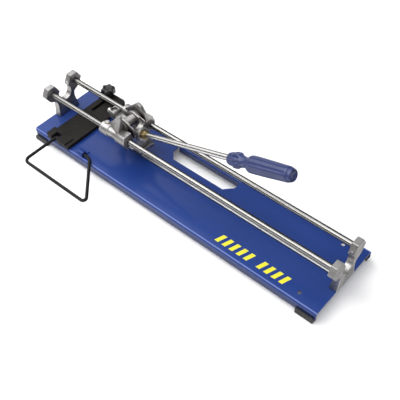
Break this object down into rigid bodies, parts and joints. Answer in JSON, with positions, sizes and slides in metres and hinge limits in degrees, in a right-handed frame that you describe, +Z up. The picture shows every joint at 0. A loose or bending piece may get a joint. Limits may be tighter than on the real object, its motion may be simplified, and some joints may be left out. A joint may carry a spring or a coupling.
{
  "type": "tile cutter",
  "caption": "Manual score-and-snap tile cutter: flat bed with fence and swing-out wire support, twin rails, and a sliding carriage with a levered scoring wheel and breaker foot.",
  "frame": {"origin": "middle of the bed's length and width, on the plane that the feet stand on", "axes": "+X along the bed from the fence to the user's end, +Y across the bed towards the hand slot, +Z up"},
  "size_m": [0.521, 0.1858, 0.1597],
  "materials": {
    "bed_paint": "gloss blue enamel on pressed sheet steel",
    "foot_rubber": "matt black",
    "casting": "as cast, lightly tumbled",
    "rail_chrome": "polished chrome",
    "rod_chrome": "polished chrome",
    "fastener_steel": "zinc plated",
    "fence_black": "satin black",
    "wire_black": "dip-coated gloss black",
    "saddle_paint": "gloss blue enamel",
    "rib_metal": "mill finish",
    "knob_plastic": "gloss black",
    "bush_plastic": "matt",
    "nut_brass": "dull brass",
    "handle_plastic": "glossy navy blue moulding",
    "plug_plastic": "glossy black",
    "carbide": "ground tool metal",
    "pad_rubber": "matt"
  },
  "bodies": {
    "base": {"base_plate": "bed_paint", "foot_near_left": "foot_rubber", "foot_near_right": "foot_rubber", "foot_far_left": "foot_rubber", "foot_far_right": "foot_rubber", "rail_bracket_right": "casting", "rail_bracket_left": "casting", "bracket_bolts": "fastener_steel", "rail_near": "rail_chrome", "rail_far": "rail_chrome", "rail_grub_screws": "fastener_steel", "breaker_rib": "rib_metal", "fence_bar": "fence_black", "fence_screws": "fastener_steel", "wire_saddle": "saddle_paint"},
    "stop": {"side_stop": "fence_black", "stop_bolt": "fastener_steel"},
    "knob": {"clamp_knob": "knob_plastic"},
    "wire": {"support_wire": "wire_black"},
    "carriage": {"carriage_body": "casting", "bush_near_left": "bush_plastic", "bush_near_right": "bush_plastic", "bush_far_left": "bush_plastic", "bush_far_right": "bush_plastic", "pivot_bolt": "fastener_steel", "pivot_washer": "fastener_steel", "friction_discs": "bush_plastic"},
    "lever": {"lever_block": "casting", "lever_rod": "rod_chrome", "lock_nut": "nut_brass", "handle": "handle_plastic", "handle_plug": "plug_plastic", "wheel_holder": "fastener_steel", "wheel_clamp_screw": "fastener_steel", "wheel_axle": "fastener_steel", "breaker_pin": "fastener_steel"},
    "wheel": {"cutting_wheel": "carbide"},
    "foot": {"breaker_foot": "casting", "breaker_pads": "pad_rubber"}
  },
  "joints": [
    {"name": "stop_slide", "type": "slide", "parent": "base", "child": "stop", "axis": [0, 1, 0], "range_m": [-0.028, 0]},
    {"name": "knob_turn", "type": "hinge", "parent": "stop", "child": "knob", "pos_m": [-0.2135, 0.055, 0.04], "axis": [0, 0, 1], "range_deg": [0, 360]},
    {"name": "wire_swing", "type": "hinge", "parent": "base", "child": "wire", "pos_m": [-0.2, -0.055, 0.0232], "axis": [-1, 0, 0], "range_deg": [0, 100]},
    {"name": "carriage_slide", "type": "slide", "parent": "base", "child": "carriage", "axis": [1, 0, 0], "range_m": [-0.09, 0.315]},
    {"name": "lever_pivot", "type": "hinge", "parent": "carriage", "child": "lever", "pos_m": [-0.108, 0, 0.076], "axis": [0, 1, 0], "range_deg": [-25, 22]},
    {"name": "wheel_spin", "type": "hinge", "parent": "lever", "child": "wheel", "pos_m": [-0.136, 0, 0.046], "axis": [0, 1, 0], "continuous": true},
    {"name": "foot_tilt", "type": "hinge", "parent": "lever", "child": "foot", "pos_m": [-0.084, 0, 0.052], "axis": [0, 1, 0], "range_deg": [-12, 12]}
  ]
}
